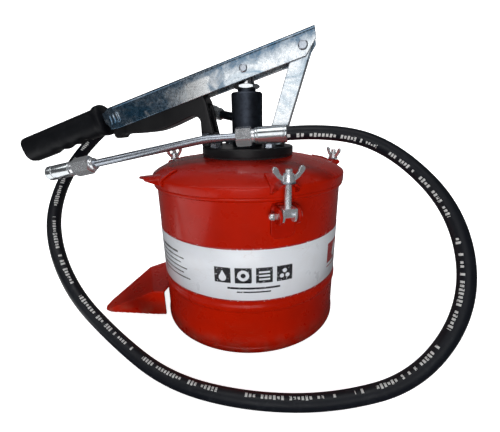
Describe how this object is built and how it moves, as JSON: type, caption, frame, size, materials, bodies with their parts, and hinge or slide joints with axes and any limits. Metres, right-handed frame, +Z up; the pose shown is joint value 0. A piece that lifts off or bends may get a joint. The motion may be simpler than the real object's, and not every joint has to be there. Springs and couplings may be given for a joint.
{
  "type": "hand-lever gear oil pump",
  "caption": "Hand-lever oil pump: red bucket with foot step and clamped lid, black pump flange, plated lever with black grip, carry handle, hose and grease coupler.",
  "frame": {"origin": "on the floor, on the axis of the bucket", "axes": "+Z up along the bucket axis; the lever and link move in the XZ plane with the grip towards -X; the hose loop lies towards -Y"},
  "size_m": [0.4933, 0.2653, 0.2994],
  "materials": {
    "bucket_paint": "gloss red-orange enamel",
    "label_print": "printed pale band",
    "black_cast": "semi-gloss black enamel over casting",
    "zinc": "zinc plate",
    "bright_steel": "ground and plated",
    "dark_steel": "blued steel",
    "plain_steel": "machined",
    "black_plastic": "moulded",
    "hose_rubber": "smooth extruded rubber",
    "seal_rubber": "moulded rubber"
  },
  "bodies": {
    "pump": {"bucket": "bucket_paint", "label_band": "label_print", "foot_step": "bucket_paint", "lid": "bucket_paint", "lid_gasket": "seal_rubber", "lid_ears": "bucket_paint", "lid_tab": "bucket_paint", "clamp_lugs": "bucket_paint", "clamp_pins": "zinc", "flange_gasket": "seal_rubber", "pump_flange": "black_cast", "flange_bolts": "zinc", "flange_nuts": "zinc", "pump_cylinder": "dark_steel", "gland_packing": "seal_rubber", "gland_bush": "dark_steel", "gland_nut": "zinc", "pump_barrel": "plain_steel", "foot_valve_seat": "plain_steel", "foot_valve_ball": "plain_steel", "suction_strainer": "plain_steel", "link_pin": "zinc", "link_pin_ring": "zinc", "carry_handle": "black_cast", "handle_bolts": "zinc", "outlet_nipple": "zinc", "outlet_swivel_nut": "zinc", "outlet_ferrule": "zinc", "hose": "hose_rubber", "delivery_ferrule": "zinc", "delivery_nipple": "zinc", "delivery_pipe": "zinc", "coupler_nut": "zinc", "coupler_sleeve": "zinc", "coupler_jaws": "plain_steel"},
    "link": {"link": "zinc"},
    "lever": {"lever": "zinc", "grip": "black_plastic", "lever_pin": "zinc", "rod_pin": "zinc", "lever_pin_rings": "zinc"},
    "piston_rod": {"piston_rod": "bright_steel", "piston": "plain_steel", "piston_seals": "seal_rubber"},
    "swing_bolt_1": {"swing_bolt_1": "zinc"},
    "clamp_washer_1": {"clamp_washer_1": "zinc"},
    "wing_nut_1": {"wing_nut_1": "zinc"},
    "swing_bolt_2": {"swing_bolt_2": "zinc"},
    "clamp_washer_2": {"clamp_washer_2": "zinc"},
    "wing_nut_2": {"wing_nut_2": "zinc"},
    "swing_bolt_3": {"swing_bolt_3": "zinc"},
    "clamp_washer_3": {"clamp_washer_3": "zinc"},
    "wing_nut_3": {"wing_nut_3": "zinc"}
  },
  "joints": [
    {"name": "link_swing", "type": "hinge", "parent": "pump", "child": "link", "pos_m": [0.033, 0, 0.2], "axis": [0, 1, 0], "range_deg": [-2.6, 0]},
    {"name": "lever_pump", "type": "hinge", "parent": "link", "child": "lever", "pos_m": [0.057, 0, 0.283], "axis": [0, 1, 0], "range_deg": [0, 45]},
    {"name": "rod_slide", "type": "slide", "parent": "pump", "child": "piston_rod", "axis": [0, 0, 1], "range_m": [0, 0.044]},
    {"name": "clamp_1_swing", "type": "hinge", "parent": "pump", "child": "swing_bolt_1", "pos_m": [0.05296, -0.09755, 0.1437], "axis": [0.8788, 0.4772, 0], "range_deg": [0, 100]},
    {"name": "clamp_1_nut_rise", "type": "slide", "parent": "swing_bolt_1", "child": "clamp_washer_1", "axis": [0, 0, 1], "range_m": [0, 0.004]},
    {"name": "clamp_1_nut_spin", "type": "hinge", "parent": "clamp_washer_1", "child": "wing_nut_1", "pos_m": [0.05296, -0.09755, 0.1735], "axis": [0, 0, 1], "range_deg": [0, 1441]},
    {"name": "clamp_2_swing", "type": "hinge", "parent": "pump", "child": "swing_bolt_2", "pos_m": [0.09564, 0.05634, 0.1437], "axis": [-0.5075, 0.8616, 0], "range_deg": [0, 100]},
    {"name": "clamp_2_nut_rise", "type": "slide", "parent": "swing_bolt_2", "child": "clamp_washer_2", "axis": [0, 0, 1], "range_m": [0, 0.004]},
    {"name": "clamp_2_nut_spin", "type": "hinge", "parent": "clamp_washer_2", "child": "wing_nut_2", "pos_m": [0.09564, 0.05634, 0.1735], "axis": [0, 0, 1], "range_deg": [0, 1441]},
    {"name": "clamp_3_swing", "type": "hinge", "parent": "pump", "child": "swing_bolt_3", "pos_m": [-0.10495, 0.03614, 0.1437], "axis": [-0.3256, -0.9455, 0], "range_deg": [0, 100]},
    {"name": "clamp_3_nut_rise", "type": "slide", "parent": "swing_bolt_3", "child": "clamp_washer_3", "axis": [0, 0, 1], "range_m": [0, 0.004]},
    {"name": "clamp_3_nut_spin", "type": "hinge", "parent": "clamp_washer_3", "child": "wing_nut_3", "pos_m": [-0.10495, 0.03614, 0.1735], "axis": [0, 0, 1], "range_deg": [0, 1441]}
  ],
  "couplings": [
    {"joint": "link_swing", "follows": "lever_pump", "ratio": -0.055},
    {"joint": "rod_slide", "follows": "lever_pump", "m_per_rad": 0.0554},
    {"joint": "clamp_1_nut_spin", "follows": "clamp_1_nut_rise", "rad_per_m": 6283.2},
    {"joint": "clamp_2_nut_spin", "follows": "clamp_2_nut_rise", "rad_per_m": 6283.2},
    {"joint": "clamp_3_nut_spin", "follows": "clamp_3_nut_rise", "rad_per_m": 6283.2}
  ]
}
